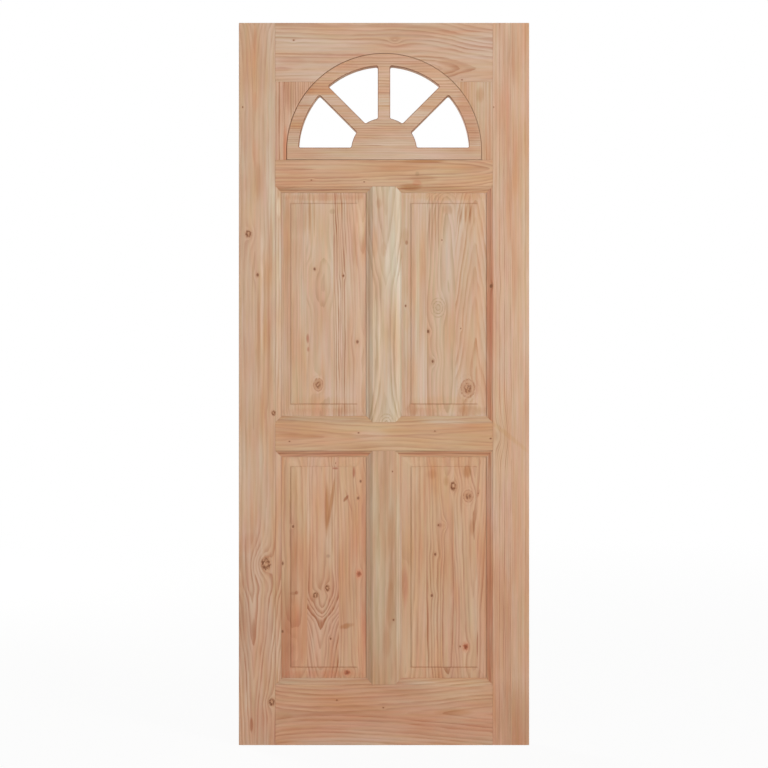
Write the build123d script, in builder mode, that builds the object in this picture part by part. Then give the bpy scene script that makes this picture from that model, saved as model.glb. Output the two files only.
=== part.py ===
from build123d import *
import os

# Leaf of a panelled exterior door in bare softwood, with an open fan light under an arched top rail.
# Millimetres. X runs from the hinge edge to the lock edge, Y from the front face to the back face with
# the leaf's mid-plane at zero, and Z runs up from the bottom edge. Both faces are worked alike.

# Overall leaf
door_width = 820
door_height = 2040
door_thickness = 40
edge_round = 1.5

# Framing members, each measured over its moulding
stile_width = 120
muntin_width = 100
bottom_rail_width = 188
lock_rail_width = 115
lock_rail_underside = 814
fan_rail_width = 92

# Moulding worked on every edge that meets a panel: a square quirk, then an ogee down to a lip. The ogee sets
# out and ends at the same slope, in degrees from the face, and is steepest at its middle
moulding_width = 17
moulding_depth = 10
moulding_quirk = 1.5
ogee_slope = 12

# Panels: a tongue in the grooves, a bevel all round, and a raised field that has a sloped edge and stands a
# little above the middle of its panel
panel_edge = 14
groove_fit = 0.15
groove_depth = 12
panel_gap = 3
tongue_gap = 1
bevel_reveal = 0.8
bevel_rise = 4
bevel_side = 25
lower_bevel_end = 28
upper_bevel_end = 31
field_step = 3
field_taper = 45
field_lift = 2

# Arch and fan light: a stilted half round, framed by the fan rail, two spandrels and the top rail
spandrel_foot = 31
crown_width = 85.5
horn_drop = 81
fan_stilt = 25.5
fan_fit = 0.8
fan_tongue = 12
fan_tongue_length = 8
fan_tongue_fit = 0.15
fan_tongue_gap = 1
rim_width = 35
sill_width = 35
hub_radius = 93
bar_width = 35
bar_angles = (45, 90, 135)
light_corner = 5

# Places that follow from the sizes above
middle = door_width / 2
half_thickness = door_thickness / 2
stile_face = stile_width - moulding_width
rail_length = door_width - 2 * stile_face
groove_width = panel_edge + 2 * groove_fit
lock_rail_top = lock_rail_underside + lock_rail_width
fan_radius = middle - stile_face - spandrel_foot
springing = door_height - crown_width - fan_radius
fan_base = springing - fan_stilt
fan_rail_underside = fan_base - fan_rail_width
top_rail_underside = door_height - crown_width - horn_drop

# A stile's section is drawn looking down, and a rail's section looking along the door
stile_plane = Plane.XY
rail_plane = Plane(origin=(stile_face, 0, 0), x_dir=(0, 0, 1), z_dir=(1, 0, 0))


def moulded_blank(plane, low, high, length, moulded_edges):
    """Timber whose section on the plane runs from low to high, with the moulding and groove on some edges."""
    with BuildPart() as blank:
        with BuildSketch(plane):
            with Locations(((low + high) / 2, 0)):
                Rectangle(high - low, door_thickness)
            for edge in moulded_edges:
                inward = 1 if edge == low else -1
                shoulder = edge + inward * moulding_width
                ogee_middle = (shoulder + edge) / 2
                for face in (1, -1):
                    surface = face * half_thickness
                    quirk_floor = face * (half_thickness - moulding_quirk)
                    lip = face * (half_thickness - moulding_depth)
                    ogee_point = (ogee_middle, (quirk_floor + lip) / 2)
                    setting_out = Vector(inward, 0).rotate(Axis.Z, inward * face * ogee_slope)
                    with BuildLine():
                        Polyline((edge, lip), (edge, surface), (shoulder, surface), (shoulder, quirk_floor))
                        TangentArc((shoulder, quirk_floor), ogee_point, tangent=-setting_out)
                        TangentArc((edge, lip), ogee_point, tangent=setting_out)
                    make_face(mode=Mode.SUBTRACT)
                with Locations((edge + inward * groove_depth / 2, 0)):
                    Rectangle(groove_depth, groove_width, mode=Mode.SUBTRACT)
        extrude(amount=length)
    return blank.part


def keep(part, name):
    """Label a finished piece and write its file."""
    part.label = name
    export_step(part, f"parts/{name}.step")


# The room that the fan light takes up in the leaf: its outline right through, and the groove round it
with BuildPart() as fan_seat:
    with BuildSketch(Plane.XZ) as seat_outline:
        with Locations((middle, springing)):
            Circle(fan_radius)
            Rectangle(2 * fan_radius, fan_radius, align=(Align.CENTER, Align.MAX), mode=Mode.SUBTRACT)
            Rectangle(2 * fan_radius, fan_stilt, align=(Align.CENTER, Align.MAX))
    extrude(amount=half_thickness, both=True)
    with BuildSketch(Plane.XZ):
        add(seat_outline.sketch_local)
        offset(amount=fan_tongue_length + fan_tongue_gap, kind=Kind.INTERSECTION)
    extrude(amount=fan_tongue / 2 + fan_tongue_fit, both=True)


def stile(outer_edge, sight_edge):
    """A full-height stile, with its outer arrises rounded and its inner edge moulded from end to end."""
    low, high = sorted((outer_edge, sight_edge))
    blank = moulded_blank(stile_plane, low, high, door_height, [sight_edge])
    with BuildPart() as upright:
        add(blank)
        arrises = upright.edges().filter_by(Axis.Z).sort_by(lambda e: abs(e.center().X - outer_edge))[:2]
        fillet(arrises, radius=edge_round)
    return upright.part


left_stile = stile(0, stile_width)
right_stile = stile(door_width, door_width - stile_width)


def cope_to_stiles():
    """Scribe the piece being made over both stiles' mouldings, with its tongues short of the grooves."""
    add([left_stile, right_stile], mode=Mode.SUBTRACT)
    tongue_end = stile_width - groove_depth + tongue_gap / 2
    with Locations((tongue_end, 0, 0), (door_width - tongue_end, 0, 0)):
        Box(tongue_gap, groove_width, door_height, align=(Align.CENTER, Align.CENTER, Align.MIN),
            mode=Mode.SUBTRACT)


def rail(underside, top, moulded_edges):
    """A cross rail between the stiles, coped over their mouldings and cleared for the fan light."""
    blank = moulded_blank(rail_plane, underside, top, rail_length, moulded_edges)
    with BuildPart() as cross:
        add(blank)
        cope_to_stiles()
        add(fan_seat.part, mode=Mode.SUBTRACT)
    return cross.part


bottom_rail = rail(0, bottom_rail_width, [bottom_rail_width])
lock_rail = rail(lock_rail_underside, lock_rail_top, [lock_rail_underside, lock_rail_top])
fan_rail = rail(fan_rail_underside, fan_base, [fan_rail_underside])
top_rail = rail(top_rail_underside, door_height, [])


def spandrel(hinge_side):
    """The upright block between a stile and the arch, standing on the fan rail under the top rail's horn."""
    with BuildPart() as block:
        with BuildSketch(Plane.XY.offset(fan_base)):
            with Locations((stile_face if hinge_side else middle, 0)):
                Rectangle(middle - stile_face, door_thickness, align=(Align.MIN, Align.CENTER))
        extrude(amount=top_rail_underside - fan_base)
        cope_to_stiles()
        add(fan_seat.part, mode=Mode.SUBTRACT)
    return block.part


left_spandrel = spandrel(True)
right_spandrel = spandrel(False)

# The fan light's frame is one board as thick as the leaf, with four lights cut through it
with BuildPart() as fan_frame:
    with BuildSketch(Plane.XZ):
        add(seat_outline.sketch_local)
        offset(amount=-fan_fit, kind=Kind.INTERSECTION)
    extrude(amount=half_thickness, both=True)
    with BuildSketch(Plane.XZ):
        add(seat_outline.sketch_local)
        offset(amount=fan_tongue_length, kind=Kind.INTERSECTION)
    extrude(amount=fan_tongue / 2, both=True)
    with BuildSketch(Plane.XZ) as lights:
        with Locations((middle, springing)):
            Circle(fan_radius - rim_width)
            Circle(hub_radius, mode=Mode.SUBTRACT)
            for angle in bar_angles:
                Rectangle(2 * fan_radius, bar_width, rotation=angle, mode=Mode.SUBTRACT)
        with Locations((middle, fan_base + sill_width)):
            Rectangle(2 * fan_radius, 2 * fan_radius, align=(Align.CENTER, Align.MAX), mode=Mode.SUBTRACT)
        fillet(lights.vertices(), radius=light_corner)
    extrude(amount=half_thickness, both=True, mode=Mode.SUBTRACT)


def muntin(lower_rail, upper_rail, lower_sight, upper_sight):
    """A middle upright between two rails, moulded on both sides and coped over the rails' mouldings."""
    foot = lower_sight - moulding_width
    length = upper_sight - lower_sight + 2 * moulding_width
    sides = [middle - muntin_width / 2, middle + muntin_width / 2]
    blank = moulded_blank(stile_plane.offset(foot), *sides, length, sides)
    tongue_end = groove_depth - tongue_gap / 2
    with BuildPart() as upright:
        add(blank)
        add([lower_rail, upper_rail], mode=Mode.SUBTRACT)
        with Locations((middle, 0, lower_sight - tongue_end), (middle, 0, upper_sight + tongue_end)):
            Box(muntin_width, groove_width, tongue_gap, mode=Mode.SUBTRACT)
    return upright.part


lower_muntin = muntin(bottom_rail, lock_rail, bottom_rail_width, lock_rail_underside)
upper_muntin = muntin(lock_rail, fan_rail, lock_rail_top, fan_rail_underside)


def panel(sight_left, sight_bottom, sight_top, bevel_end):
    """A raised and fielded panel that floats in the grooves around one opening of the framing."""
    width = middle - muntin_width / 2 - stile_width
    height = sight_top - sight_bottom
    tongue = groove_depth - panel_gap
    bevel_foot = panel_edge / 2
    across = sight_left + width / 2
    up = (sight_bottom + sight_top) / 2
    with BuildPart() as board:
        with BuildSketch(Plane.XZ):
            with Locations((across, up)):
                Rectangle(width + 2 * tongue, height + 2 * tongue)
        extrude(amount=bevel_foot)
        with BuildSketch(Plane.XZ.offset(bevel_foot)):
            with Locations((across, up)):
                Rectangle(width - 2 * bevel_reveal, height - 2 * bevel_reveal)
        with BuildSketch(Plane.XZ.offset(bevel_foot + bevel_rise)) as field:
            with Locations((across, up + field_lift)):
                Rectangle(width - 2 * bevel_side, height - 2 * bevel_end)
        loft()
        extrude(field.sketch, amount=field_step, taper=field_taper)
        mirror(about=Plane.XZ)
    return board.part


os.makedirs("parts", exist_ok=True)

keep(left_stile, "left_stile")
keep(right_stile, "right_stile")
keep(bottom_rail, "bottom_rail")
keep(lock_rail, "lock_rail")
keep(fan_rail, "fan_rail")
keep(top_rail, "top_rail")
keep(left_spandrel, "left_spandrel")
keep(right_spandrel, "right_spandrel")
keep(fan_frame.part, "fan_frame")
keep(lower_muntin, "lower_muntin")
keep(upper_muntin, "upper_muntin")

for side, sight_left in (("left", stile_width), ("right", middle + muntin_width / 2)):
    lower_panel = panel(sight_left, bottom_rail_width, lock_rail_underside, lower_bevel_end)
    keep(lower_panel, f"lower_{side}_panel")
    upper_panel = panel(sight_left, lock_rail_top, fan_rail_underside, upper_bevel_end)
    keep(upper_panel, f"upper_{side}_panel")
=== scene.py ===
from dataclasses import dataclass
from math import radians

import bpy
import numpy as np
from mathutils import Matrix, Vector


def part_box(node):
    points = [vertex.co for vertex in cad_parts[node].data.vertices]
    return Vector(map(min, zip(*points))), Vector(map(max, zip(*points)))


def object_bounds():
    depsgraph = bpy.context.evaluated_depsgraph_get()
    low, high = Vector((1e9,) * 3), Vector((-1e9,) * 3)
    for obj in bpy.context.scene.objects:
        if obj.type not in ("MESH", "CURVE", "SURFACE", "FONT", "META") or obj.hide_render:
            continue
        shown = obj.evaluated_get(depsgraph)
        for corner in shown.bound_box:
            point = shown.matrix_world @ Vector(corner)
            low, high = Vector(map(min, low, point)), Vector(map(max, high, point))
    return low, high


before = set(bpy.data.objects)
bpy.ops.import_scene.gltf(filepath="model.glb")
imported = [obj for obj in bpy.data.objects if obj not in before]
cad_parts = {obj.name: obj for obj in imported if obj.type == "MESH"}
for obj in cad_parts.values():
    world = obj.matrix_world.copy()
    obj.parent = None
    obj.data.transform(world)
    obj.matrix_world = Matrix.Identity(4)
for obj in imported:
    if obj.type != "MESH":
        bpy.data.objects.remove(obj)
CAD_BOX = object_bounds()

bl_info = {
    "name": "Panelled Door with Fan Light",
    "version": (1, 0, 0),
    "blender": (4, 5, 0),
    "location": "View3D > Sidebar > Door",
    "description": "Gives each timber of a bare softwood door its own grain, and sets it in a white studio",
    "category": "Object",
}

DOOR_LOW, DOOR_HIGH = (Vector(corner) for corner in CAD_BOX)
DOOR_MIDDLE = (DOOR_LOW + DOOR_HIGH) / 2
MILLIMETRES = 1000.0


def tint(red, green, blue):
    """A colour as a paint chart gives it, from 0 to 255, as the linear light that a shader takes."""
    level = np.array((red, green, blue)) / 255
    return tuple(np.where(level <= 0.04045, level / 12.92, ((level + 0.055) / 1.055) ** 2.4).tolist())


# Settings that a user would change

def colour(name, description, default):
    """A colour setting."""
    return bpy.props.FloatVectorProperty(
        name=name, description=description, default=tint(*default), subtype="COLOR", size=3, min=0, max=1)


def share(name, description, default):
    """A setting between none and all."""
    return bpy.props.FloatProperty(
        name=name, description=description, default=default, subtype="FACTOR", min=0, max=1)


def light(name, description, default):
    """A level of light, as a share of full white."""
    return bpy.props.FloatProperty(name=name, description=description, default=default, min=0, max=4)


def length(name, description, default, low, high, precision=2):
    """A length in metres."""
    return bpy.props.FloatProperty(
        name=name, description=description, default=default, min=low, max=high,
        subtype="DISTANCE", unit="LENGTH", precision=precision)


class DoorWoodSettings(bpy.types.PropertyGroup):
    """Colours of the bare softwood, and how strongly its grain shows."""
    sap: colour("Sap", "Sapwood, nearly white", (226, 206, 184))
    cream: colour("Cream", "Palest early wood, on the muntins", (207, 186, 160))
    pink: colour("Pink", "Early wood with a pink cast", (204, 171, 145))
    peach: colour("Peach", "Early wood between pink and honey", (206, 168, 139))
    straw: colour("Straw", "Early wood with a yellow cast", (206, 173, 141))
    tan: colour("Tan", "Dull early wood", (201, 167, 139))
    ochre: colour("Ochre", "Yellow-brown early wood", (201, 161, 124))
    honey: colour("Honey", "Warm early wood, on the rails", (203, 164, 130))
    russet: colour("Russet", "Reddish early wood, low on the door", (197, 151, 121))
    coral: colour("Coral", "Red-orange early wood", (203, 139, 105))
    amber: colour("Amber", "Orange late wood", (177, 124, 80))
    rust: colour("Rust", "Reddish late wood", (166, 110, 76))
    olive: colour("Olive", "Dull yellow late wood", (170, 138, 101))
    knot_face: colour("Knot face", "Cut face of a branch", (183, 128, 90))
    knot_dark: colour("Knot dark", "Core and rim of a branch", (116, 68, 42))
    resin: colour("Resin", "Resin-soaked wood by a branch", (160, 76, 44))
    late_wood: share("Late wood", "How dark the late wood lines are", 1.0)
    fibre: share("Fibre", "How strongly the fine fibres show", 0.75)
    blotch: share("Blotches", "How much the tone drifts over a board", 1.0)
    # Line shade: how dark the painted shade lines are, in the mouldings' corners and round the fields
    line_shade: share("Line shade", "How dark the cutter's lines are, in mouldings and round fields", 0.5)
    warmth: share("Warmth", "How much redder the panels' bevels are than their fields", 0.1)
    roughness: share("Roughness", "Roughness of the sanded surface", 0.66)
    relief: length("Relief", "Height of the late wood over the early wood", 0.00012, 0, 0.001, 5)
    arris: length("Arris", "Width of the sanded edges", 0.0008, 0, 0.003, 5)
    # Width of the fan frame's eased edges, which carry painted shade
    burnt_arris: length("Burnt arris", "Width of the browned edges round the lights", 0.0018, 0, 0.003, 5)


class DoorStageSettings(bpy.types.PropertyGroup):
    """Studio round the door."""
    camera_distance: length("Camera distance", "From the lens to the front of the door", 6.2, 1, 50)
    view_width: length("View width", "Width of the picture at the front of the door", 2.169, 0.1, 20)
    floor_colour: colour("Floor", "Matt paper on the floor", (236, 235, 232))
    key_light: light("Key light", "Light of the lamp on the lock side", 0.56)
    fill_light: light("Fill light", "Light of the lamp on the hinge side", 0.17)
    back_light: light("Back light", "Light of the lamp behind the door", 0.6)
    room_light: light("Room light", "Even light from all round", 0.222)
    floor_shadow: share("Floor shadow", "How much of the shadow shows on the white floor", 0.06)


# Shader arithmetic

X_AXIS, Y_AXIS, Z_AXIS = (1, 0, 0), (0, 1, 0), (0, 0, 1)


def is_wide(value):
    """Whether a value has three or four parts, as a colour or a place has."""
    if isinstance(value, Field):
        return value.socket.type in {"VECTOR", "RGBA"}
    return not isinstance(value, (int, float))


class Field:
    """A value that varies over a surface. Its operators add the nodes that they stand for."""

    def __init__(self, shading, socket):
        self.shading = shading
        self.socket = socket

    def work(self, operation, *operands, output=0):
        """One Math node, or a Vector Math node where an operand is a colour or a place."""
        wide = any(is_wide(operand) for operand in operands)
        kind = "ShaderNodeVectorMath" if wide else "ShaderNodeMath"
        return self.shading.node(kind, {"operation": operation}, dict(enumerate(operands)), output)

    def __add__(self, other):
        return self.work("ADD", self, other)

    def __radd__(self, other):
        return self.work("ADD", other, self)

    def __sub__(self, other):
        return self.work("SUBTRACT", self, other)

    def __rsub__(self, other):
        return self.work("SUBTRACT", other, self)

    def __mul__(self, other):
        return self.work("MULTIPLY", self, other)

    def __truediv__(self, other):
        return self.work("DIVIDE", self, other)

    def __rtruediv__(self, other):
        return self.work("DIVIDE", other, self)

    def dot(self, other):
        return self.work("DOT_PRODUCT", self, other, output="Value")

    def parts(self):
        """The three parts of a place or a colour."""
        return [self.dot(axis) for axis in (X_AXIS, Y_AXIS, Z_AXIS)]

    def root(self):
        return self.work("SQRT", self)

    def floor(self):
        return self.work("FLOOR", self)

    def fraction(self):
        return self.work("FRACT", self)

    def least(self, other):
        return self.work("MINIMUM", self, other)

    def most(self, other):
        return self.work("MAXIMUM", self, other)

    def size(self):
        return self.work("ABSOLUTE", self)

    def beyond(self, edge):
        """1 past the edge and 0 before it."""
        return self.work("GREATER_THAN", self, edge)

    def ramp(self, start, end, low=0.0, high=1.0):
        """A smooth step from low at start to high at end; start may be the larger of the two."""
        return self.shading.node(
            "ShaderNodeMapRange", {"interpolation_type": "SMOOTHSTEP"},
            {"Value": self, "From Min": start, "From Max": end, "To Min": low, "To Max": high})


class Shading:
    """The nodes of one material or world."""

    def __init__(self, owner):
        owner.use_nodes = True
        self.owner = owner
        self.tree = owner.node_tree
        self.tree.nodes.clear()

    def node(self, kind, settings=None, inputs=None, output=0):
        """Any node: its settings first, then the values or links of its sockets; gives one of its outputs."""
        made = self.tree.nodes.new(kind)
        for name, value in (settings or {}).items():
            setattr(made, name, value)
        for key, value in (inputs or {}).items():
            self.feed(self.find(made.inputs, key), value)
        return None if output is None else Field(self, self.find(made.outputs, output))

    @staticmethod
    def find(sockets, key):
        """The socket that has this place, identifier or name."""
        if isinstance(key, int):
            return sockets[key]
        return next(socket for socket in sockets if key in (socket.identifier, socket.name))

    def feed(self, socket, value):
        """Link or set a socket."""
        if isinstance(value, Field):
            self.tree.links.new(value.socket, socket)
        elif socket.type == "RGBA":
            socket.default_value = (*value, 1.0)[:4]
        elif socket.type == "VECTOR" and isinstance(value, (int, float)):
            socket.default_value = (value,) * 3
        else:
            socket.default_value = value

    def mix(self, factor, first, second):
        """First where the factor is 0 and second where it is 1, for numbers or colours."""
        kind = "Color" if is_wide(first) or is_wide(second) else "Float"
        return self.node(
            "ShaderNodeMix", {"data_type": "RGBA" if kind == "Color" else "FLOAT"},
            {"Factor_Float": factor, f"A_{kind}": first, f"B_{kind}": second}, f"Result_{kind}")

    def noise(self, place, detail=2.0):
        """Smooth noise about 0, mostly within 1 either way, with lumps about one unit across."""
        raw = self.node("ShaderNodeTexNoise", {"noise_dimensions": "3D"},
                        {"Vector": place, "Scale": 1.0, "Detail": detail, "Roughness": 0.55})
        return raw * 4.0 - 2.0

    def drift(self, place, darker, redder, yellower):
        """Three-way noise about 0: how much of three changes of colour there is at each place."""
        raw = self.node("ShaderNodeTexNoise", {"noise_dimensions": "3D"},
                        {"Vector": place, "Scale": 1.0, "Detail": 1.0, "Roughness": 0.5}, "Color")
        dark, red, yellow = (raw * 4.0 - 2.0).parts()
        return dark * darker + red * redder + yellow * yellower

    def curve(self, value, points):
        """A smooth line through given points, held level past its ends."""
        starts, heights = zip(*points)
        low, high = min(heights), max(heights)
        reach = starts[-1] - starts[0]
        made = self.node("ShaderNodeFloatCurve", None, {"Value": (value - starts[0]) / reach})
        mapping = made.socket.node.mapping
        line = mapping.curves[0]
        for _ in points[2:]:
            line.points.new(0.5, 0.5)
        for point, start, height in zip(line.points, starts, heights):
            point.location = ((start - starts[0]) / reach, (height - low) / (high - low))
        mapping.update()
        return made * (high - low) + low


# Timber, described in millimetres on the door: x from the hinge edge and z from the bottom edge. A knot that
# a glue line cuts is listed with both staves

@dataclass
class Knot:
    """A branch end where it shows on the face. The grain parts round it, and some rings close round it."""
    x: float
    z: float
    radius: float
    kind: str = "pin"
    stretch: float = 1.3
    part: float = 2.0
    swirl: float = 0.5


@dataclass
class TonePatch:
    """A soft-edged patch of another tone: a stain of the wood, and along some mouldings painted light and
    shade.
    It may lean across the grain by so much for each step along it.
    """
    x: float
    z: float
    half_x: float
    half_z: float
    tone: str
    strength: float
    lean: float = 0.0


@dataclass
class Crease:
    """Painted shade: a thin dark line along the grain, in a moulding's quirk or corner where shade gathers.
    """
    across: float
    strength: float
    half_width: float = 1.6


@dataclass
class Stave:
    """One glued strip of a timber, sawn from a log whose heart runs along the grain.

    The heart stands at a place across the grain and, by its pith, at a depth from the middle of the leaf. The
    rise adds rings along the grain, which draws the arches and points where the face cuts them. The contrast
    of the late wood is one number, or points of a line along the grain.
    """
    until: float
    heart: float
    pith: float
    pitch: float
    wood: str
    line: str
    contrast: float | tuple
    rise: tuple = ()
    knots: tuple = ()


@dataclass
class Timber:
    """One piece of the door: the way its grain runs, its staves in order across the grain, and its tone
    patches.

    A raised panel also has a field: how far its edges are set in from the panel's own, across and up, and the
    strength of the painted shade line along its top. A piece with shaded edges has broader arrises, painted
    dark as the shade on the lights' inner walls and in the joint round it.
    """
    node: str
    upright: bool
    staves: tuple
    tone_patches: tuple = ()
    creases: tuple = ()
    wander: float = 1.0
    field: tuple = ()
    burnt: bool = False


STILES = (
    Timber("left_stile", True, (
        Stave(120, 44, -22.5, 10.5, "tan", "rust",
              ((0, 0.45), (300, 0.7), (480, 0.7), (640, 0.35), (1300, 0.35), (2040, 0.4)),
              rise=((0, 5.6), (237, 4.3), (305, 3.3), (411, 2.3), (460, 1.3), (580, 0.8), (900, 0.5),
                    (1250, 0.1), (1600, 0.5), (1884, 0.0), (2040, -1.7)),
              knots=(Knot(11, 1802, 2), Knot(27, 1444, 6, "dead", part=3, swirl=1.6),
                     Knot(53, 1328, 3.8, swirl=0.8), Knot(98, 938, 4.2, "dead"),
                     Knot(76, 512, 9.5, "dead", part=3.4, swirl=3.2),
                     Knot(93, 122, 6, "dead", swirl=1.0))),),
        tone_patches=(TonePatch(90, 1766, 16, 260, "cream", 0.5), TonePatch(106, 1250, 15, 340, "cream", 0.6),
                TonePatch(46, 1960, 9, 80, "coral", 0.28), TonePatch(47, 1815, 8, 30, "coral", 0.25),
                TonePatch(44, 1760, 20, 240, "straw", 0.5), TonePatch(44, 1670, 6, 45, "coral", 0.25),
                TonePatch(54, 1590, 8, 50, "amber", 0.3), TonePatch(28, 1490, 22, 50, "honey", 0.5),
                TonePatch(90, 1400, 5, 100, "amber", 0.35), TonePatch(66, 1390, 13, 60, "sap", 0.3),
                TonePatch(56, 1130, 6, 160, "amber", 0.35), TonePatch(86, 1100, 5, 150, "amber", 0.3),
                TonePatch(36, 57, 5, 18, "rust", 0.7), TonePatch(14, 290, 30, 120, "rust", 0.25),
                TonePatch(30, 570, 30, 30, "russet", 0.5), TonePatch(112, 1520, 5, 28, "sap", 0.6),
                TonePatch(72, 1000, 9, 240, "honey", 0.6), TonePatch(65, 1240, 7, 130, "sap", 0.5),
                TonePatch(67, 854, 9, 80, "cream", 0.4), TonePatch(42, 330, 6, 28, "rust", 0.5),
                TonePatch(50, 100, 80, 560, "russet", 0.4), TonePatch(8, 400, 18, 130, "amber", 0.35),
                TonePatch(60, 60, 50, 50, "russet", 0.5)),
        creases=(Crease(104, 0.45), Crease(120, 0.6))),
    Timber("right_stile", True, (
        Stave(771, 1000, 60, 4.2, "peach", "rust", 0.7,
              knots=(Knot(720, 1802, 1.6), Knot(713, 1297, 4.2, stretch=1.6),
                     Knot(726, 872, 12, "eye", stretch=1.6, part=1.8, swirl=2.0))),
        Stave(820, 960, 50, 4.2, "peach", "amber", 0.45)),
        tone_patches=(TonePatch(772, 1960, 18, 90, "rust", 0.25), TonePatch(760, 1738, 6, 160, "coral", 0.35),
                TonePatch(800, 1500, 20, 300, "straw", 0.5),
                TonePatch(763, 873, 11, 44, "ochre", 0.8, lean=-1.2),
                TonePatch(740, 830, 30, 120, "ochre", 0.55), TonePatch(757, 297, 12, 200, "russet", 0.6),
                TonePatch(765, 120, 70, 480, "russet", 0.5), TonePatch(790, 60, 60, 110, "amber", 0.35),
                # Painted shade colour: the coral strips along the lock-side moulding (x 708 and 709) give its
                # shaded faces a warm dark tone, partly the wood's own redder tone and partly painted warm
                # shade
                TonePatch(709, 1245, 10.5, 420, "coral", 0.85), TonePatch(708, 500, 9, 420, "coral", 0.68)),
        creases=(Crease(700, 0.2), Crease(709, 0.1)),
        wander=0.5),
)

RAILS = (
    Timber("top_rail", False, (
        Stave(2040, 1912, -30, 13, "pink", "rust", ((103, 0.5), (400, 0.45), (560, 0.62), (717, 0.62)),
              rise=((103, 0.0), (300, 0.4), (500, 0.6), (585, 1.4), (650, 2.6), (717, 3.4)),
              knots=(Knot(155, 1991, 2), Knot(441, 1992, 6, "eye", swirl=1.2), Knot(630, 1879, 2))),),
        tone_patches=(TonePatch(605, 1922, 40, 10, "amber", 0.4, lean=-0.2),
                TonePatch(150, 1931, 40, 12, "russet", 0.5), TonePatch(410, 1985, 700, 200, "rust", 0.05),
                TonePatch(640, 1885, 30, 8, "pink", 0.5))),
    Timber("fan_rail", False, (
        Stave(1653, 1628, -27, 9.5, "honey", "rust", 0.58,
              rise=((103, 0.0), (400, 0.5), (600, 1.2), (717, 2.6)),
              knots=(Knot(205, 1596, 1.6), Knot(354, 1591, 1.6))),),
        tone_patches=(TonePatch(504, 1614, 6, 6, "olive", 0.5), TonePatch(503, 1589, 12, 7, "coral", 0.6),
                TonePatch(484, 1576, 30, 9, "amber", 0.7), TonePatch(520, 1600, 40, 10, "amber", 0.35),
                TonePatch(200, 1600, 150, 30, "coral", 0.2), TonePatch(410, 1610, 500, 80, "rust", 0.08),
                TonePatch(523, 1649, 62, 5, "amber", 0.7), TonePatch(150, 1630, 50, 20, "russet", 0.4),
                # Painted light: the straw strip at z 1576 lightens the shaded moulding under the rail
                TonePatch(200, 1576, 100, 8, "straw", 0.7)),
        creases=(Crease(1569, 0.2, 2.5),)),
    Timber("lock_rail", False, (
        Stave(929, 872, -26, 11, "ochre", "rust", 0.45,
              rise=((103, -1.6), (200, -0.9), (321, 0.0), (420, 0.3), (520, 0.0), (717, -0.9)),
              knots=(Knot(143, 858, 2), Knot(338, 882, 2), Knot(554, 887, 2), Knot(711, 866, 2.4))),),
        tone_patches=(TonePatch(370, 878, 50, 16, "pink", 0.5), TonePatch(593, 909, 60, 12, "straw", 0.5),
                # Painted shade colour: the coral strips along the moulding under the rail (z 823) give its
                # shaded faces a warm dark tone, partly the wood's own redder tone and partly painted warm
                # shade
                TonePatch(172, 875, 80, 7, "amber", 0.4), TonePatch(230, 823, 190, 8, "coral", 0.7),
                TonePatch(590, 823, 190, 8, "coral", 0.7), TonePatch(140, 880, 40, 40, "russet", 0.4),
                TonePatch(250, 860, 140, 30, "coral", 0.15), TonePatch(410, 870, 500, 90, "amber", 0.08),
                # Painted light: the cream strips at z 918 and 920 lighten the moulding along the rail's top
                TonePatch(620, 918, 120, 12, "cream", 0.7), TonePatch(230, 920, 130, 9, "cream", 0.3)),
        creases=(Crease(824.5, 0.8, 1.5), Crease(830.5, 1.0, 1.3))),
    Timber("bottom_rail", False, (
        Stave(188, 90, -27, 12, "russet", "rust", 0.6,
              rise=((103, 1.2), (156, 1.9), (250, 2.2), (337, 2.0), (523, 1.0), (634, 0.0), (717, -0.7)),
              knots=(Knot(277, 127, 2.2), Knot(408, 106, 2))),),
        tone_patches=(TonePatch(606, 92, 50, 9, "amber", 0.45), TonePatch(120, 85, 30, 18, "amber", 0.35),
                # Painted light: the straw strip at z 178 and the honey one at z 175 lighten the moulding
                # along the rail's top
                TonePatch(600, 150, 130, 34, "honey", 0.7), TonePatch(600, 178, 130, 12, "straw", 0.9),
                TonePatch(250, 175, 140, 14, "honey", 0.7), TonePatch(280, 135, 160, 22, "honey", 0.4),
                TonePatch(200, 40, 110, 26, "coral", 0.3), TonePatch(650, 45, 70, 26, "coral", 0.25),
                TonePatch(410, 6, 400, 16, "tan", 0.6))),
)

SPANDRELS = (
    Timber("left_spandrel", True, (Stave(410, 20, 30, 6, "peach", "rust", 0.8),),
           tone_patches=(TonePatch(131, 1690, 8, 60, "coral", 0.9), TonePatch(150, 1840, 30, 50, "rust", 0.3),
                   TonePatch(118, 1760, 14, 120, "russet", 0.5))),
    Timber("right_spandrel", True, (Stave(820, 900, 30, 8, "tan", "amber", 0.6),),
           tone_patches=(TonePatch(682, 1836, 12, 22, "amber", 0.45), TonePatch(705, 1740, 10, 90, "russet", 0.5))),
)

FAN = (
    Timber("fan_frame", False, (
        Stave(1692, 1400, 30, 6.5, "tan", "amber", 0.35),
        Stave(1768, 1380, -30, 6.5, "tan", "rust", 0.65),
        Stave(1838, 1420, 20, 7.5, "pink", "amber", 0.6),
        Stave(1905, 1390, -25, 8, "peach", "rust", 0.6),
        Stave(1960, 1410, 25, 8.5, "peach", "rust", 0.7)),
        tone_patches=(TonePatch(410, 1950, 200, 30, "russet", 0.6), TonePatch(170, 1800, 24, 70, "pink", 0.5),
                TonePatch(650, 1780, 34, 100, "russet", 0.8), TonePatch(175, 1840, 34, 60, "russet", 0.7)),
        burnt=True),
)

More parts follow.
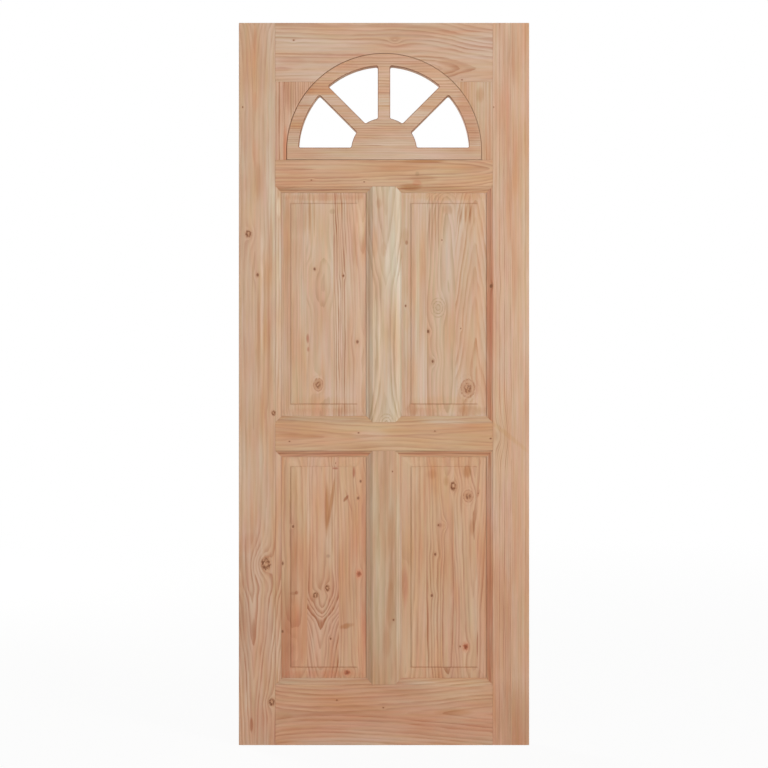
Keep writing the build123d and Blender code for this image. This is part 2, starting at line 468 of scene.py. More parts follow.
MUNTINS = (
    Timber("upper_muntin", True, (
        Stave(460, 415, -28, 16, "cream", "olive", ((905, 0.6), (1000, 0.55), (1300, 0.5), (1561, 0.6)),
              rise=((905, -0.5), (960, 1.2), (1084, 1.8), (1279, 1.6), (1349, 0.9), (1480, -0.4),
                    (1561, -0.9)),
              knots=(Knot(417, 908, 9, "loops", swirl=0.5),)),),
        tone_patches=(TonePatch(384, 1424, 9, 45, "straw", 0.5), TonePatch(392, 1490, 24, 90, "pink", 0.6),
                TonePatch(395, 1530, 10, 16, "amber", 0.3), TonePatch(410, 1400, 9, 20, "amber", 0.25),
                # Painted light: the sap and peach strips at x 366 lift the shade of the left moulding; the
                # sap strip at x 449 is a painted highlight on the right moulding
                TonePatch(366, 1245, 8, 420, "sap", 0.3), TonePatch(366, 1245, 9, 420, "peach", 0.35),
                TonePatch(410, 1200, 50, 420, "pink", 0.3), TonePatch(449, 1245, 6, 420, "sap", 0.4),
                TonePatch(420, 1360, 7, 60, "sap", 0.5), TonePatch(400, 1100, 6, 130, "sap", 0.4)),
        creases=(Crease(360, 0.2), Crease(368, 0.15, 2.5), Crease(458, 0.35))),
    Timber("lower_muntin", True, (
        Stave(460, 380, -50, 12, "tan", "olive", 0.4, knots=(Knot(437, 354, 2.8), Knot(434, 773, 1.8))),),
        tone_patches=(TonePatch(415, 430, 50, 420, "amber", 0.2), TonePatch(415, 430, 50, 420, "olive", 0.15),
                TonePatch(430, 600, 10, 70, "amber", 0.4), TonePatch(432, 480, 8, 60, "amber", 0.4),
                TonePatch(428, 390, 12, 70, "amber", 0.5), TonePatch(418, 290, 10, 40, "amber", 0.35),
                TonePatch(385, 700, 15, 110, "cream", 0.5), TonePatch(393, 540, 9, 80, "cream", 0.45),
                # Painted light: the pink strip at x 367 lifts the shade of the left moulding; the cream strip
                # at x 450 is a painted highlight on the right moulding
                TonePatch(450, 500, 5, 420, "cream", 0.5), TonePatch(367, 500, 9, 420, "pink", 0.9),
                TonePatch(438, 430, 8, 300, "amber", 0.2)),
        creases=(Crease(360, 0.1), Crease(457, 0.35))),
)

PANELS = (
    Timber("upper_left_panel", True, (
        Stave(191, 100, 40, 6, "pink", "olive", 0.35),
        Stave(266, 236, -25, 13, "pink", "olive",
              ((929, 0.35), (1018, 0.55), (1200, 0.6), (1310, 0.45), (1561, 0.65)),
              rise=((929, 0.0), (1018, 0.3), (1130, 1.0), (1210, 1.2), (1300, 0.0), (1388, 1.2),
                    (1470, 1.6), (1561, 1.2)),
              knots=(Knot(214, 1345, 3.4, part=3), Knot(224, 1018, 11, "ringed", part=2.6, swirl=2.5))),
        Stave(304, 560, 20, 6.2, "pink", "rust", 0.9,
              rise=((929, 1.6), (1200, 1.4), (1531, 0.0)),
              knots=(Knot(295, 1326, 2.8),)),
        Stave(369, 352, -22, 9, "pink", "rust", 0.5,
              rise=((929, 2.3), (1200, 2.1), (1531, 0.0)),
              knots=(Knot(335, 1139, 3.8, part=3),))),
        tone_patches=(TonePatch(135, 1441, 12, 80, "honey", 0.6), TonePatch(350, 1470, 12, 70, "cream", 0.5),
                TonePatch(350, 1330, 9, 60, "cream", 0.6), TonePatch(325, 1418, 6, 60, "amber", 0.35),
                TonePatch(201, 1476, 6, 60, "amber", 0.35), TonePatch(225, 1380, 40, 90, "straw", 0.4),
                TonePatch(212, 1470, 28, 60, "ochre", 0.5), TonePatch(180, 1050, 60, 90, "honey", 0.45),
                TonePatch(133, 1250, 10, 330, "honey", 0.2), TonePatch(240, 1548, 110, 10, "russet", 0.55),
                TonePatch(240, 1548, 110, 10, "ochre", 0.3), TonePatch(194, 1149, 4, 14, "resin", 0.6),
                TonePatch(195, 1118, 3.5, 7, "resin", 0.45), TonePatch(200, 1500, 3, 70, "amber", 0.5),
                TonePatch(213, 1500, 3, 60, "amber", 0.4), TonePatch(345, 1480, 10, 60, "sap", 0.4),
                TonePatch(330, 1490, 14, 60, "sap", 0.3), TonePatch(264, 1508, 8, 7, "olive", 0.4),
                TonePatch(285, 1520, 8, 20, "ochre", 0.6), TonePatch(355, 1200, 8, 280, "russet", 0.45),
                TonePatch(168, 1495, 32, 50, "amber", 0.28), TonePatch(284, 1150, 7, 170, "sap", 0.5),
                TonePatch(250, 962, 110, 22, "ochre", 0.4), TonePatch(230, 942, 110, 10, "russet", 0.45),
                TonePatch(306, 947, 30, 14, "amber", 0.25), TonePatch(224, 1020, 14, 16, "amber", 0.25)),
        field=(35.5, 41.5, 0.3)),
    Timber("upper_right_panel", True, (
        Stave(531, 440, 30, 7, "pink", "amber", 0.3,
              knots=(Knot(471, 1241, 2.6),)),
        Stave(612, 588, -23, 10, "pink", "olive", 0.65,
              rise=((929, 0.6), (1100, 0.2), (1318, 0.0), (1561, 3.5)),
              knots=(Knot(562.6, 1236, 9, "loops", part=2.4, swirl=1.0), Knot(534.5, 1168.6, 4),
                     Knot(547.6, 1083.8, 3.4, part=3, swirl=1.8), Knot(574, 1427, 1.6))),
        Stave(709, 668, -24, 11, "pink", "amber", 0.65,
              rise=((929, 0.0), (1010, 0.8), (1100, 2.2), (1260, 4.0), (1561, 8.0)),
              knots=(Knot(647, 1008, 16, "ringed", part=1.4, swirl=2.0), Knot(627, 1177, 1.6)))),
        tone_patches=(TonePatch(471, 1199, 9, 30, "honey", 0.7), TonePatch(472, 1440, 8, 22, "amber", 0.35),
                TonePatch(474, 1420, 4, 6, "rust", 0.7), TonePatch(512, 1314, 15, 200, "straw", 0.3),
                TonePatch(590, 1512, 14, 14, "amber", 0.4), TonePatch(538, 1478, 2.2, 80, "rust", 0.5),
                TonePatch(546, 1482, 2.2, 75, "rust", 0.5), TonePatch(555, 1486, 2.2, 70, "amber", 0.6),
                TonePatch(564, 1480, 2.2, 80, "rust", 0.45), TonePatch(627, 1500, 5, 28, "rust", 0.5),
                TonePatch(640, 1503, 4, 26, "amber", 0.5), TonePatch(653, 1502, 3, 30, "rust", 0.5),
                TonePatch(664, 1498, 3, 34, "amber", 0.5), TonePatch(520, 942, 36, 11, "russet", 0.5),
                TonePatch(660, 944, 40, 14, "amber", 0.45), TonePatch(505, 1200, 6, 300, "cream", 0.6),
                TonePatch(470, 1300, 10, 330, "cream", 0.5), TonePatch(670, 1490, 36, 70, "ochre", 0.5),
                TonePatch(490, 947, 18, 18, "amber", 0.5), TonePatch(585, 962, 110, 24, "ochre", 0.45),
                TonePatch(585, 1551, 120, 12, "ochre", 0.7), TonePatch(660, 1300, 50, 260, "ochre", 0.3),
                TonePatch(647, 1000, 10, 9, "amber", 0.5), TonePatch(690, 1010, 20, 70, "russet", 0.5)),
        field=(35.5, 41.5, 0.3)),
    Timber("lower_left_panel", True, (
        Stave(193, 150, -40, 10, "honey", "rust", 0.42,
              rise=((188, 1.6), (330, 0.4), (500, 0.0), (814, 0.3)),
              knots=(Knot(153, 617, 3.8), Knot(123.6, 512.5, 2.6, stretch=2.0), Knot(122.7, 320, 3.4),
                     Knot(149.5, 275, 14, "eye", stretch=1.8, swirl=2.4))),
        Stave(282, 232, -22, 9, "peach", "rust",
              ((188, 0.65), (330, 0.95), (440, 0.95), (560, 0.6), (814, 0.65)),
              rise=((188, 8.0), (332, 5.9), (378, 3.4), (404, 2.2), (440, 1.3), (500, 1.2), (680, 1.15),
                    (814, 1.0)),
              knots=(Knot(250, 443, 5, "dead", part=2.5, swirl=1.2),
                     Knot(216.5, 423, 5, "dead", part=2.5, swirl=1.2), Knot(259, 300, 2.8),
                     Knot(272.8, 796, 1.2))),
        Stave(369, 380, -25, 9, "honey", "rust", 0.45,
              rise=((188, 1.6), (480, 1.4), (793, 0.0)),
              knots=(Knot(344, 745, 3.2), Knot(337, 697, 3.6), Knot(339.4, 483, 6, "red"),
                     Knot(305.7, 204, 8, "red", stretch=0.8)))),
        tone_patches=(TonePatch(240, 330, 150, 240, "russet", 0.7), TonePatch(135, 300, 26, 170, "rust", 0.35),
                TonePatch(340, 560, 30, 190, "russet", 0.5), TonePatch(248, 668, 6, 72, "amber", 0.8),
                TonePatch(262, 690, 4.5, 70, "amber", 0.7, lean=0.15),
                TonePatch(252.6, 533.6, 6, 6, "knot_dark", 0.3), TonePatch(163, 430, 4.5, 5, "rust", 0.7),
                TonePatch(153, 428, 9, 5, "rust", 0.4), TonePatch(303, 697, 5, 9, "rust", 0.95, lean=0.6),
                TonePatch(272.8, 781.6, 7, 3.5, "resin", 0.6), TonePatch(325, 770, 4, 16, "resin", 0.6),
                TonePatch(310, 690, 3, 30, "resin", 0.3, lean=-0.3),
                TonePatch(304, 336, 17, 9, "amber", 0.75, lean=1.0), TonePatch(350, 270, 16, 110, "coral", 0.6),
                TonePatch(180, 700, 14, 100, "straw", 0.4), TonePatch(150, 280, 38, 130, "coral", 0.5),
                TonePatch(355, 520, 9, 320, "coral", 0.15), TonePatch(355, 520, 9, 320, "rust", 0.25),
                TonePatch(230, 200, 110, 10, "coral", 0.38)),
        field=(35.5, 38.5, 0.0)),
    Timber("lower_right_panel", True, (
        Stave(530, 468, -24, 12, "honey", "rust", 0.45,
              rise=((188, 0.8), (360, 0.6), (457, 0.3), (814, 0.0)),
              knots=(Knot(470, 457, 9, "eye", stretch=4.5, part=1.5, swirl=1.3),)),
        Stave(608, 590, -23, 8.5, "honey", "rust", ((188, 0.95), (500, 0.85), (640, 0.5), (814, 0.35)),
              rise=((188, 0.4), (420, 0.0), (600, 0.2), (667, 0.0), (814, -1.6)),
              knots=(Knot(606, 731, 6, "dead", stretch=1.5, part=2.5, swirl=1.4), Knot(564, 621, 2.5),
                     Knot(580, 621, 4, "eye", swirl=1.4), Knot(554.6, 538.5, 3.4),
                     Knot(545, 421.7, 3.6))),
        Stave(709, 663, -22, 9, "honey", "rust", 0.62,
              rise=((188, 1.6), (393, 1.1), (476, 0.6), (688, -0.7), (814, -1.6)),
              knots=(Knot(606, 731, 6, "dead", stretch=1.5, part=2.5, swirl=1.4),
                     Knot(648.4, 703, 11, "ringed", part=1.6, swirl=1.6), Knot(676.5, 711, 1.6),
                     Knot(641, 277, 6.5, "red"), Knot(625, 278, 2)))),
        tone_patches=(TonePatch(500, 330, 40, 260, "straw", 0.3), TonePatch(605, 350, 30, 220, "russet", 0.55),
                TonePatch(690, 380, 26, 240, "russet", 0.6), TonePatch(545, 765, 15, 14, "amber", 0.35),
                TonePatch(585, 745, 8, 16, "amber", 0.5), TonePatch(646, 771, 12, 18, "amber", 0.75),
                TonePatch(660, 614, 8, 24, "amber", 0.5), TonePatch(672, 420, 5, 160, "straw", 0.6),
                TonePatch(674, 284, 3, 35, "rust", 0.6), TonePatch(640, 400, 16, 120, "amber", 0.25),
                TonePatch(606, 731, 9, 12, "amber", 0.5), TonePatch(648, 703, 11, 11, "amber", 0.35),
                TonePatch(580, 500, 140, 330, "russet", 0.25), TonePatch(470, 452, 9, 60, "coral", 0.35),
                TonePatch(566, 621, 7, 6, "rust", 0.45), TonePatch(677, 712, 4, 12, "rust", 0.6, lean=0.2)),
        field=(35.5, 38.5, 0.0)),
)


# Wood

# Squared distance from a knot, in its radii, that stands for no knot at all
FAR = 100.0

# How far a field stands above the middle of its panel, and how deep the fan frame's rim is, where the painted
# edge shade turns mostly to honey
FIELD_LIFT = 2.0
RIM_REACH = 14.0

# Kinds of knot that colour the wood; the other kind, an eye, only turns the grain
KNOT_KINDS = ("pin", "red", "ringed", "dead", "loops")

# What noise adds to red, green and blue, as shares: patches and clouds turn darker, redder and yellower, the
# figure darkens whole rings, and threads are the streaks and fibres
PATCHES = ((-0.02, -0.05, -0.075), (0.034, -0.016, 0.001), (0.01, -0.002, -0.055))
CLOUDS = ((-0.045, -0.165, -0.26), (0.018, -0.009, 0.0), (0.009, -0.002, -0.045))
FIGURE = (-0.02, -0.055, -0.08)
THREADS = (0.6, 1.0, 1.3)

# How far apart the staves of a timber lie in the noise, and the timbers themselves
STAVE_SHIFT = (0, 61.0, 430.0)
TIMBER_SHIFT = 37.0


def stave_rings(shade, stave, upright, grain, wander):
    """Ring number over one stave, and how far each point is from its nearest knot of each kind, squared.

    Rings are counted by the distance from the heart, over the pitch, plus the rise along the grain. Round a
    knot the place across the grain is drawn in towards the knot's middle, by the share
    part² / (distance² + part²) with the distance in knot radii, and the same share of the knot's swirl is
    added to the ring number.
    """
    across, depth, along = grain.parts()
    across = across + wander
    nearest = {}
    swirl = 0.0
    for knot in stave.knots:
        side, way = (knot.x, knot.z) if upright else (knot.z, knot.x)
        reach = (grain - (side, 0, way)) * (1 / knot.radius, 0, 1 / (knot.radius * knot.stretch))
        squared = reach.dot(reach)
        part = knot.part ** 2
        closeness = part / (squared + part)
        across = across - reach.dot((knot.radius, 0, 0)) * closeness
        swirl = swirl + closeness * knot.swirl
        if knot.kind in KNOT_KINDS:
            nearest[knot.kind] = squared.least(nearest.get(knot.kind, FAR))
    offset = across - stave.heart
    below = depth - stave.pith
    rings = (offset * offset + below * below).root() / stave.pitch + swirl
    if stave.rise:
        rings = rings + shade.curve(along, stave.rise)
    return rings, nearest


def lumps(width, length):
    """Scale at which noise has lumps of this width across the grain and this length along it."""
    return (1 / width, 1 / width, 1 / length)


def blend_staves(shade, timber, wood, grain, across, drift):
    """Ring number, tones, contrast and nearness to knots over a timber, taken from each stave in turn."""
    edge = None
    for stave in timber.staves:
        rings, nearest = stave_rings(shade, stave, timber.upright, grain, drift)
        contrast = stave.contrast
        if isinstance(contrast, tuple):
            contrast = shade.curve(grain.dot(Z_AXIS), contrast)
        looks = {"rings": rings, "pale": tuple(getattr(wood, stave.wood)),
                 "line": tuple(getattr(wood, stave.line)), "contrast": contrast}
        looks |= {kind: nearest.get(kind, FAR) for kind in KNOT_KINDS}
        if edge is None:
            blend = looks
        else:
            past = across.beyond(edge)
            for name, look in looks.items():
                if isinstance(look, Field) or blend[name] != look:
                    blend[name] = shade.mix(past, blend[name], look)
        edge = stave.until
    return blend


def add_tone_patches(shade, body, timber, wood, grain, uneven):
    """Soft ellipses with streaky edges, in which the wood turns from its stave's tone to another: its stains,
    and the painted light and shade along some mouldings.

    The lines of the wood stay.
    """
    for patch in timber.tone_patches:
        middle, halves = (patch.x, patch.z), (patch.half_x, patch.half_z)
        if not timber.upright:
            middle, halves = middle[::-1], halves[::-1]
        offset = grain - (middle[0], 0, middle[1])
        aside = offset.dot((1 / halves[0], 0, -patch.lean / halves[0]))
        ahead = offset.dot((0, 0, 1 / halves[1]))
        spread = aside * aside + ahead * ahead + uneven * 0.35
        stave = next(stave for stave in timber.staves if middle[0] <= stave.until)
        turn = np.divide(getattr(wood, patch.tone), getattr(wood, stave.wood)).tolist()
        body = shade.mix(spread.ramp(1.6, 0.1) * patch.strength, body, body * turn)
    return body


def add_knots(shade, body, blend, wood, ragged, broken):
    """Branches, each of its own kind.

    Pins are a dark dot in a warm halo, and red ones are soaked in resin. Ringed ones show the branch's own
    rings as thin broken lines, with dark cracks in the heart. Dead ones are golden in a broken rim of bark.
    Loops are the lines of grain alone, where the branch ends just under the face.
    """
    face, dark, resin = tuple(wood.knot_face), tuple(wood.knot_dark), tuple(wood.resin)
    if isinstance(blend["pin"], Field):
        distance = blend["pin"].root() + ragged * 0.2
        body = shade.mix(distance.ramp(2.2, 0.8) * 0.4, body, face)
        body = shade.mix(distance.ramp(1.25, 0.5) * 0.85, body, dark)
    if isinstance(blend["red"], Field):
        distance = blend["red"].root() + ragged * 0.35
        body = shade.mix(distance.ramp(2.6, 0.6) * 0.7, body, tuple(wood.coral))
        body = shade.mix(distance.ramp(1.5, 0.5) * 0.9, body, resin)
        body = shade.mix(distance.ramp(0.9, 0.15) * 0.65, body, dark)
    if isinstance(blend["ringed"], Field):
        distance = blend["ringed"].root() + ragged * 0.14
        body = shade.mix(distance.ramp(1.6, 0.6) * 0.45, body, face)
        turn = (distance * 1.5).fraction()
        circle = turn.ramp(0.45, 0.9) * turn.ramp(1.0, 0.92) * distance.ramp(2.2, 0.9)
        body = shade.mix(circle * broken.ramp(-0.8, 0.5, 0.2, 0.9), body, tuple(wood.rust))
        body = shade.mix(distance.ramp(0.9, 0.3) * broken.ramp(-0.4, 0.4) * 0.75, body, dark)
    if isinstance(blend["dead"], Field):
        distance = blend["dead"].root() + ragged * 0.35
        body = shade.mix(distance.ramp(2.2, 0.8) * 0.75, body, face)
        rim = distance.ramp(0.25, 0.8) * distance.ramp(1.6, 1.0)
        body = shade.mix(rim * broken.ramp(-0.7, 0.4, 0.25, 0.95), body, dark)
        body = shade.mix(distance.ramp(0.7, 0.2) * broken.ramp(0.3, -0.5) * 0.7, body, tuple(wood.straw))
    if isinstance(blend["loops"], Field):
        distance = blend["loops"].root() + ragged * 0.1
        turn = (distance * 1.2).fraction()
        circle = turn.ramp(0.4, 0.85) * turn.ramp(1.0, 0.92) * distance.ramp(3.0, 2.0)
        body = shade.mix(circle * broken.ramp(-0.8, 0.4, 0.2, 0.75), body, tuple(wood.olive))
    return body


def add_crease_shade(shade, body, timber, wood, across, uneven):
    """Painted shade: the dark lines that run along a moulding's quirks and corners."""
    for crease in timber.creases:
        aside = (across - crease.across).size() + uneven * 0.25
        line = aside.ramp(crease.half_width * 1.5, crease.half_width * 0.4)
        body = shade.mix(line * (crease.strength * wood.line_shade), body, tuple(wood.knot_dark))
    return body


def add_bevel_tone_and_field_shade(shade, body, timber, wood, x, z, uneven):
    """Warmer bevels round a raised field, and a line of painted shade along its edges.

    The line follows the shade that the light from the lock side and above leaves: faint on the hinge side,
    darkest along the bottom and missing on the lock side.
    """
    low, high = (corner * MILLIMETRES for corner in map(Vector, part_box(timber.node)))
    inset_x, inset_z, top_line = timber.field
    beyond_left, beyond_right = low.x + inset_x - x, x - (high.x - inset_x)
    beyond_foot, beyond_top = low.z + inset_z + FIELD_LIFT - z, z - (high.z - inset_z + FIELD_LIFT)
    beyond_x, beyond_z = beyond_left.most(beyond_right), beyond_foot.most(beyond_top)
    outside = beyond_x.most(beyond_z)
    body = shade.mix(outside.ramp(-1.0, 2.0) * (uneven * 0.3 + 1) * wood.warmth, body, tuple(wood.russet))
    # Painted shade along each edge of the field, by that side's strength: hinge side, foot, then top
    edges = ((beyond_left, beyond_z, 0.1), (beyond_foot, beyond_x, 0.6), (beyond_top, beyond_x, top_line))
    for beyond, other, strength in edges:
        if strength:
            line = beyond.size().ramp(3.2, 0.5) * other.ramp(3.0, 0.0) * (uneven * 0.25 + 1)
            body = shade.mix(line * (strength * wood.line_shade), body, tuple(wood.rust))
    return body


def wood_material(timber, wood):
    """Bare planed softwood, worked out through a timber's whole thickness, so its edges match its faces."""
    shade = Shading(bpy.data.materials.new(timber.node + "_wood"))
    place = shade.node("ShaderNodeTexCoord", output="Object") * MILLIMETRES
    x, y, z = place.parts()
    across, along = (x, z) if timber.upright else (z, x)
    grain = shade.node("ShaderNodeCombineXYZ", None, {"X": across, "Y": y, "Z": along})

    # Each stave has its own log, so the noise jumps at a glue line
    number = 0.0
    for stave in timber.staves[:-1]:
        number = across.beyond(stave.until) + number
    seed = TIMBER_SHIFT * (sum(map(ord, timber.node)) % 29)
    log = grain + (0, seed, seed)
    if isinstance(number, Field):
        log = log + number * STAVE_SHIFT
    drift = shade.noise(log * lumps(40, 260)) * (2.6 * timber.wander)
    blend = blend_staves(shade, timber, wood, grain, across, drift)

    # Rings of uneven width. The late wood of each darkens slowly and ends at once, and fades here and there
    ripple = shade.noise(log * lumps(14, 90))
    rings = blend["rings"]
    growth = shade.node("ShaderNodeCombineXYZ", None, {"X": rings * 0.4, "Y": number * 7.0 + seed})
    uneven = shade.noise(growth, 1.0)
    rings = rings + ripple * 0.16 + uneven * 0.45
    year = rings.floor() + number * 31.0
    vigour = shade.node("ShaderNodeTexWhiteNoise", {"noise_dimensions": "1D"}, {"W": year}, "Value")
    grown = rings.fraction()
    fade = shade.noise(log * lumps(11, 130) + (0, 40, 0)).ramp(-0.9, 0.6, 0.3, 1.0)
    late = grown.ramp(0.25, 0.86) * grown.ramp(1.0, 0.92) * (vigour * 0.8 + 0.45) * fade

    # Streaks along the grain, from strips a few millimetres wide down to single fibres
    streak = shade.noise(log * lumps(5, 240), 3.0)
    fibre = shade.noise(log * lumps(0.9, 38))
    fleck = shade.noise(log * lumps(0.8, 7), 0.0).ramp(1.1, 1.5)

    body = shade.mix(late * blend["contrast"] * wood.late_wood, blend["pale"], blend["line"])
    patches = shade.drift(log * lumps(9, 120), *PATCHES)
    clouds = shade.drift(log * lumps(55, 240), *CLOUDS)
    figure = uneven * FIGURE
    threads = (streak * 0.08 + fibre * 0.09) * wood.fibre
    body = body * (1 + threads * THREADS + (patches + clouds + figure) * wood.blotch)
    body = shade.mix(fleck * 0.25, body, tuple(wood.amber))
    body = add_tone_patches(shade, body, timber, wood, grain, streak + ripple)
    ragged = shade.noise(log * lumps(4, 6))
    broken = shade.noise(log * lumps(5, 7) + (0, 90, 0), 1.0)
    body = add_knots(shade, body, blend, wood, ragged, broken)
    body = add_crease_shade(shade, body, timber, wood, across, ripple)
    if timber.field:
        body = add_bevel_tone_and_field_shade(shade, body, timber, wood, x, z, ripple)

    rough = wood.roughness + fibre * 0.04 - late * 0.08
    height = late * 0.6 + fibre * 0.25
    normal = shade.node("ShaderNodeBump", None, {"Strength": 0.6, "Distance": wood.relief, "Height": height})
    surface = shade.node(
        "ShaderNodeBsdfPrincipled", None,
        {"Base Color": body, "Roughness": rough, "Normal": normal, "Specular IOR Level": 0.3})
    shade.node("ShaderNodeOutputMaterial", None, {"Surface": surface}, None)
    return shade.owner


def edge_shade_material(timber, wood):
    """Painted shade on the fan frame's eased edges, patchy dark brown; mostly honey along the rim, more so on
    the lock side.
    """
    shade = Shading(bpy.data.materials.new(timber.node + "_burnt_arris"))
    place = shade.node("ShaderNodeTexCoord", output="Object") * MILLIMETRES
    patchy = shade.noise(place * lumps(25, 25)).ramp(-1.0, 1.0)
    body = shade.mix(patchy, tuple(wood.rust), tuple(wood.knot_dark))
    low, high = (corner * MILLIMETRES for corner in map(Vector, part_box(timber.node)))
    radius = (high.x - low.x) / 2
    spoke = (place - ((low.x + high.x) / 2, 0, high.z - radius)) * (1, 0, 1)
    rim = spoke.dot(spoke).root().beyond(radius - RIM_REACH)
    sill = RIM_REACH - (place.dot(Z_AXIS) - low.z)
    rim = rim.most(sill.beyond(0))
    # Painted light: the rim's edges lighten towards the lock side, where the light falls
    body = shade.mix(rim * place.dot(X_AXIS).ramp(low.x, high.x, 0.35, 0.85), body, tuple(wood.honey))
    surface = shade.node("ShaderNodeBsdfPrincipled", None, {"Base Color": body, "Roughness": 0.7})
    shade.node("ShaderNodeOutputMaterial", None, {"Surface": surface}, None)
    return shade.owner


def ease_arrises(node, width):
    """Sand the sharp edges of a timber: join its triangles, merge the flat ones and round what is left.

    The new faces take the last of the timber's materials.
    """
    node.modifiers.new("join", "WELD").merge_threshold = 1e-6
    flat = node.modifiers.new("merge_flats", "DECIMATE")
    flat.decimate_type = "DISSOLVE"
    flat.angle_limit = radians(0.2)
    ease = node.modifiers.new("ease", "BEVEL")
    ease.width = width
    ease.segments = 2
    ease.limit_method = "ANGLE"
    ease.angle_limit = radians(40)
    ease.use_clamp_overlap = False
    ease.material = len(node.data.materials) - 1


def finish_timbers(timbers, wood):
    """Give each timber of a group its own wood."""
    for timber in timbers:
        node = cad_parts[timber.node]
        node.data.materials.clear()
        node.data.materials.append(wood_material(timber, wood))
        if timber.burnt:
            node.data.materials.append(edge_shade_material(timber, wood))
        ease_arrises(node, wood.burnt_arris if timber.burnt else wood.arris)


class TimberStep:
    """What the operators of the timber groups share."""
    timbers = ()

    def execute(self, context):
        finish_timbers(self.timbers, context.scene.door_wood)
        return {"FINISHED"}


class DOOR_OT_stiles(TimberStep, bpy.types.Operator):
    """Give the two stiles their wood"""
    bl_idname = "door.stiles"
    bl_label = "Stiles"
    timbers = STILES


class DOOR_OT_rails(TimberStep, bpy.types.Operator):
    """Give the four rails their wood"""
    bl_idname = "door.rails"
    bl_label = "Rails"
    timbers = RAILS


class DOOR_OT_spandrels(TimberStep, bpy.types.Operator):
    """Give the blocks beside the arch their wood"""
    bl_idname = "door.spandrels"
    bl_label = "Spandrels"
    timbers = SPANDRELS


class DOOR_OT_fan(TimberStep, bpy.types.Operator):
    """Give the fan light's frame its wood"""
    bl_idname = "door.fan"
    bl_label = "Fan light"
    timbers = FAN


class DOOR_OT_muntins(TimberStep, bpy.types.Operator):
    """Give the middle uprights their wood"""
    bl_idname = "door.muntins"
    bl_label = "Muntins"
    timbers = MUNTINS


class DOOR_OT_panels(TimberStep, bpy.types.Operator):
    """Give the four raised panels their wood"""
    bl_idname = "door.panels"
    bl_label = "Panels"
    timbers = PANELS


# Studio, in metres

FLOOR_RADIUS = 9.0
FLOOR_DROP = 0.0005

# Place, aim and size of each lamp, from the middle of the door's front
LAMPS = {
    "key": ((4.6, -6.6, 2.2), (0, 0, 0.3), 2.2),
    "fill": ((-2.0, -5.5, 0.6), (0, 0, 0), 2.4),
    "back": ((-4.6, 6.6, 2.2), (0, 0, 0), 2.2),
}


def studio_floor(radius, steps):
    """A round floor just under the door: points at even angles, each at the radius from the door's middle."""
    angle = np.linspace(0, 2 * np.pi, steps, endpoint=False)
    rim = np.empty((steps, 3))
    rim[:, 0] = DOOR_MIDDLE.x + radius * np.cos(angle)
    rim[:, 1] = DOOR_MIDDLE.y + radius * np.sin(angle)
    rim[:, 2] = DOOR_LOW.z - FLOOR_DROP
    mesh = bpy.data.meshes.new("studio_floor")
    mesh.from_pydata(rim.tolist(), [], [range(steps)])
    mesh.update()
    floor = bpy.data.objects.new("studio_floor", mesh)
    bpy.context.scene.collection.objects.link(floor)
    return floor


def seen_as_background(shade):
    """1 for a ray from the camera, or one that shows the background in gloss or glass."""
    seen = 0.0
    for ray in ("Is Camera Ray", "Is Glossy Ray", "Is Transmission Ray"):
        seen = shade.node("ShaderNodeLightPath", None, None, ray) + seen
    return seen.least(1.0)


def floor_material(stage):
    """Pale matt paper that reads as white to the camera, with a share of the shadows near the door."""
    shade = Shading(bpy.data.materials.new("studio_paper"))
    paper = shade.node("ShaderNodeBsdfDiffuse", None, {"Color": tuple(stage.floor_colour)})
    white = shade.node("ShaderNodeEmission", None, {"Color": (1, 1, 1), "Strength": 1.0})
    away = (shade.node("ShaderNodeTexCoord", output="Object") - tuple(DOOR_MIDDLE)) * (1, 1, 0)
    shadow = away.dot(away).root().ramp(FLOOR_RADIUS * 0.2, FLOOR_RADIUS, stage.floor_shadow, 0.0)
    seen = seen_as_background(shade) * (1 - shadow)
    shown = shade.node("ShaderNodeMixShader", None, {"Fac": seen, 1: paper, 2: white})
    shade.node("ShaderNodeOutputMaterial", None, {"Surface": shown}, None)
    return shade.owner


def lamp(name, place, aim, size, level):
    """A square soft lamp; at level 1 it alone lights a white card at the aim to full white."""
    data = bpy.data.lights.new(name, "AREA")
    data.shape = "SQUARE"
    data.size = size
    data.energy = level * np.pi ** 2 * (aim - place).length_squared
    lit = bpy.data.objects.new(name, data)
    lit.location = place
    lit.rotation_euler = (aim - place).to_track_quat("-Z", "Y").to_euler()
    bpy.context.scene.collection.objects.link(lit)


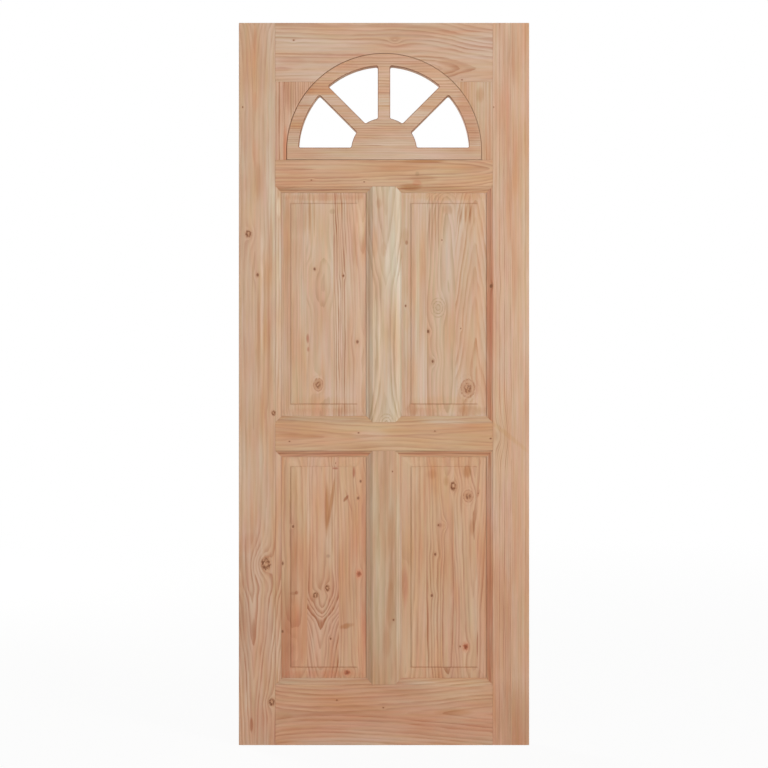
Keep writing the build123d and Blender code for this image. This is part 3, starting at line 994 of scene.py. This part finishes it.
class DOOR_OT_stage(bpy.types.Operator):
    """Set the door in a white studio, with the camera square to its front"""
    bl_idname = "door.stage"
    bl_label = "Studio"

    def execute(self, context):
        scene = context.scene
        stage = scene.door_stage
        floor = studio_floor(FLOOR_RADIUS, steps=96)
        floor.data.materials.append(floor_material(stage))

        front = Vector((DOOR_MIDDLE.x, DOOR_LOW.y, DOOR_MIDDLE.z))
        for name, (place, aim, size) in LAMPS.items():
            level = getattr(stage, name + "_light")
            lamp(name + "_lamp", front + Vector(place), front + Vector(aim), size, level)

        scene.world = bpy.data.worlds.new("studio_room")
        shade = Shading(scene.world)
        strength = shade.mix(seen_as_background(shade), stage.room_light, 1.0)
        room = shade.node("ShaderNodeBackground", None, {"Color": (1, 1, 1), "Strength": strength})
        shade.node("ShaderNodeOutputWorld", None, {"Surface": room}, None)

        camera = bpy.data.cameras.new("front_camera")
        camera.sensor_width = 36.0
        camera.lens = camera.sensor_width * stage.camera_distance / stage.view_width
        eye = bpy.data.objects.new("front_camera", camera)
        eye.location = front - Vector((0, stage.camera_distance, 0))
        eye.rotation_euler = (radians(90), 0, 0)
        scene.collection.objects.link(eye)
        scene.camera = eye
        scene.view_settings.view_transform = "Standard"
        return {"FINISHED"}


STEPS = (
    DOOR_OT_stiles, DOOR_OT_rails, DOOR_OT_spandrels, DOOR_OT_fan, DOOR_OT_muntins, DOOR_OT_panels,
    DOOR_OT_stage,
)


class DOOR_PT_panel(bpy.types.Panel):
    """The door's pieces and settings"""
    bl_label = "Door"
    bl_idname = "DOOR_PT_panel"
    bl_space_type = "VIEW_3D"
    bl_region_type = "UI"
    bl_category = "Door"

    def draw(self, context):
        for step in STEPS:
            self.layout.operator(step.bl_idname)
        for group in (context.scene.door_wood, context.scene.door_stage):
            for name in group.bl_rna.properties.keys():
                if name not in ("rna_type", "name"):
                    self.layout.prop(group, name)


CLASSES = (DoorWoodSettings, DoorStageSettings, *STEPS, DOOR_PT_panel)


def register():
    for made in CLASSES:
        bpy.utils.register_class(made)
    bpy.types.Scene.door_wood = bpy.props.PointerProperty(type=DoorWoodSettings)
    bpy.types.Scene.door_stage = bpy.props.PointerProperty(type=DoorStageSettings)


def unregister():
    del bpy.types.Scene.door_stage
    del bpy.types.Scene.door_wood
    for made in reversed(CLASSES):
        bpy.utils.unregister_class(made)


def main():
    """Dress the door and set the studio."""
    register()
    bpy.ops.door.stiles()
    bpy.ops.door.rails()
    bpy.ops.door.spandrels()
    bpy.ops.door.fan()
    bpy.ops.door.muntins()
    bpy.ops.door.panels()
    bpy.ops.door.stage()


if __name__ == "__main__":
    main()
